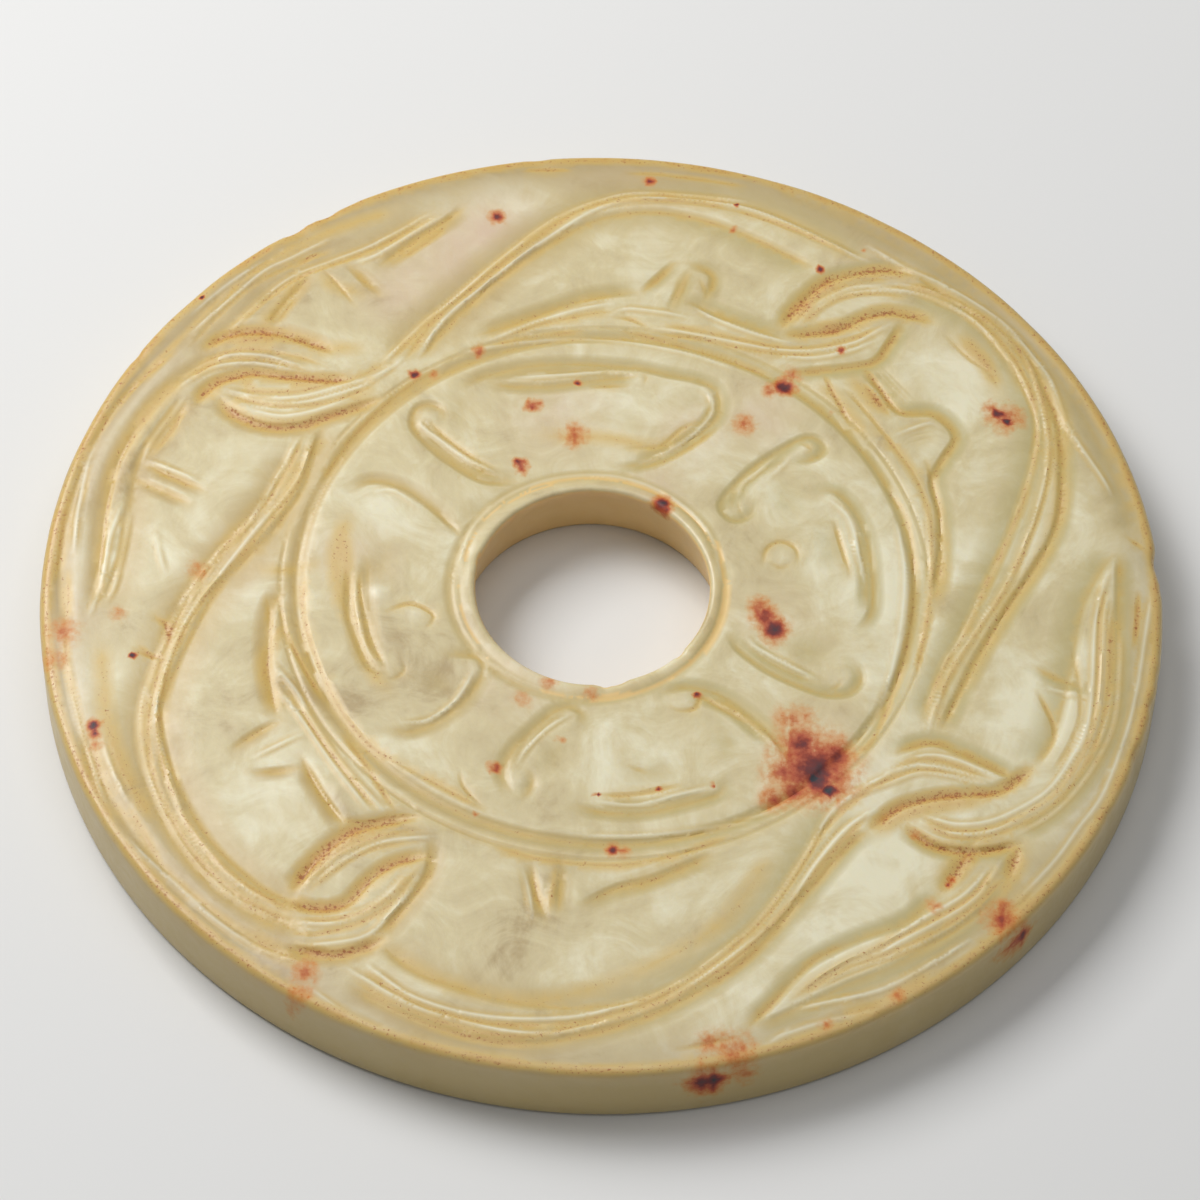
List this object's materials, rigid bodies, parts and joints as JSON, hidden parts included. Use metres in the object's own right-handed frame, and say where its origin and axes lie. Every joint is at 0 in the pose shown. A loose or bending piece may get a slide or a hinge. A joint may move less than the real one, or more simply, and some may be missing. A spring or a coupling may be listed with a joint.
{
  "type": "jade bi disc",
  "caption": "Flat round jade disc with a central bore, its front carved in low relief with coiled dragons between bands, its underside plain.",
  "frame": {"origin": "on the plane of the underside, at the middle of the disc's box, on the rim's axis", "axes": "+Z from the underside to the carved front; +X to the right and +Y away from the viewer as the disc lies in the picture"},
  "size_m": [0.1199, 0.12, 0.0087],
  "materials": {
    "jade": "polished nephrite, pale celadon with tan edges and russet spots"
  },
  "bodies": {
    "root": {"jade_disc": "jade"}
  },
  "joints": []
}
